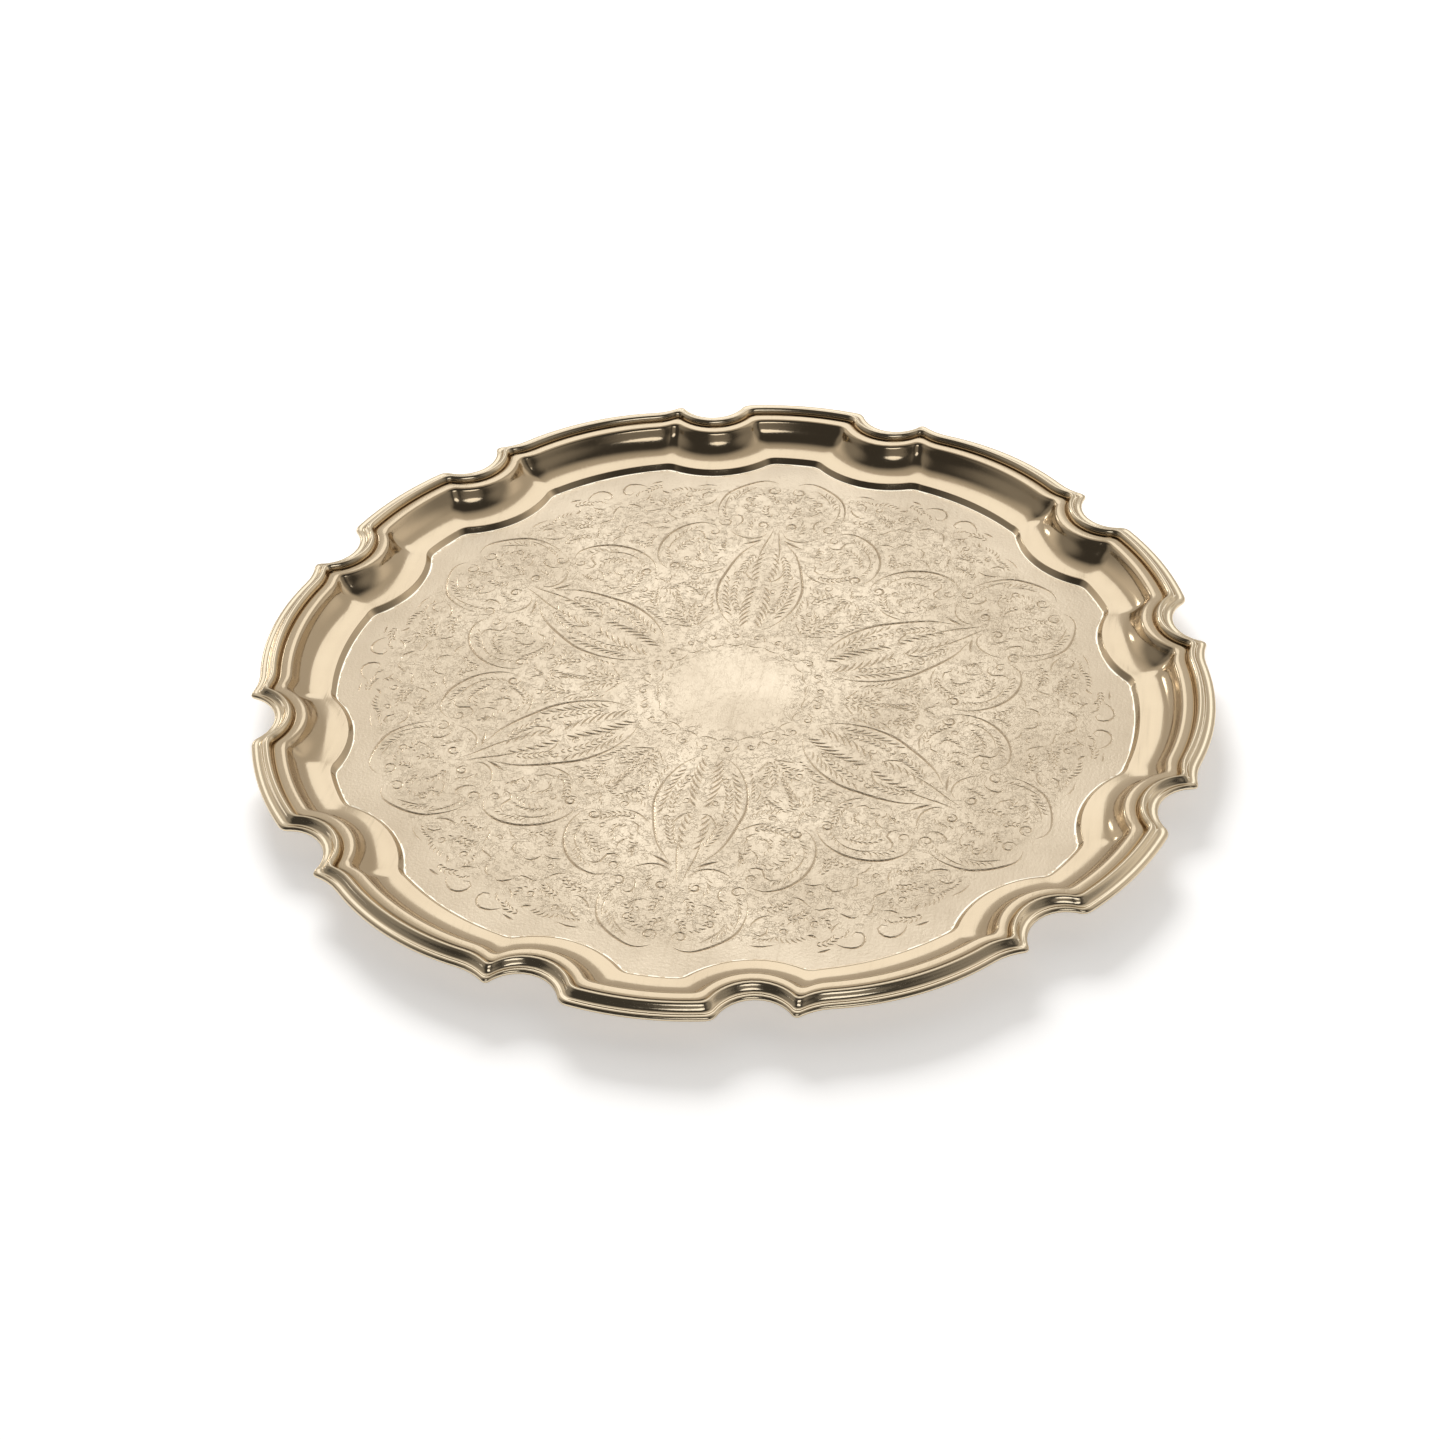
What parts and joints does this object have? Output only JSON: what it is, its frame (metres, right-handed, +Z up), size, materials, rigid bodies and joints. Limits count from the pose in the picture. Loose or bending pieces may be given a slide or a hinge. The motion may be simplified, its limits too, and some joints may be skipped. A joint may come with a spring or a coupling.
{
  "type": "serving tray",
  "caption": "Round sheet-brass serving tray with a lobed pie-crust outline, a low chamfered step, a hollow curved wall and a mitred applied border on a level flange.",
  "frame": {"origin": "centre of the flat underside, in the plane the tray stands on", "axes": "+Z up out of the tray; +Y through the middle of a short lobe; +X through the middle of a long lobe"},
  "size_m": [0.3034, 0.304, 0.0122],
  "materials": {
    "pan": "satin",
    "border": "polished"
  },
  "bodies": {
    "root": {"tray_pan": "pan", "border_short_1": "border", "border_short_2": "border", "border_short_3": "border", "border_short_4": "border", "border_short_5": "border", "border_short_6": "border", "border_long_1": "border", "border_long_2": "border", "border_long_3": "border", "border_long_4": "border", "border_long_5": "border", "border_long_6": "border"}
  },
  "joints": []
}
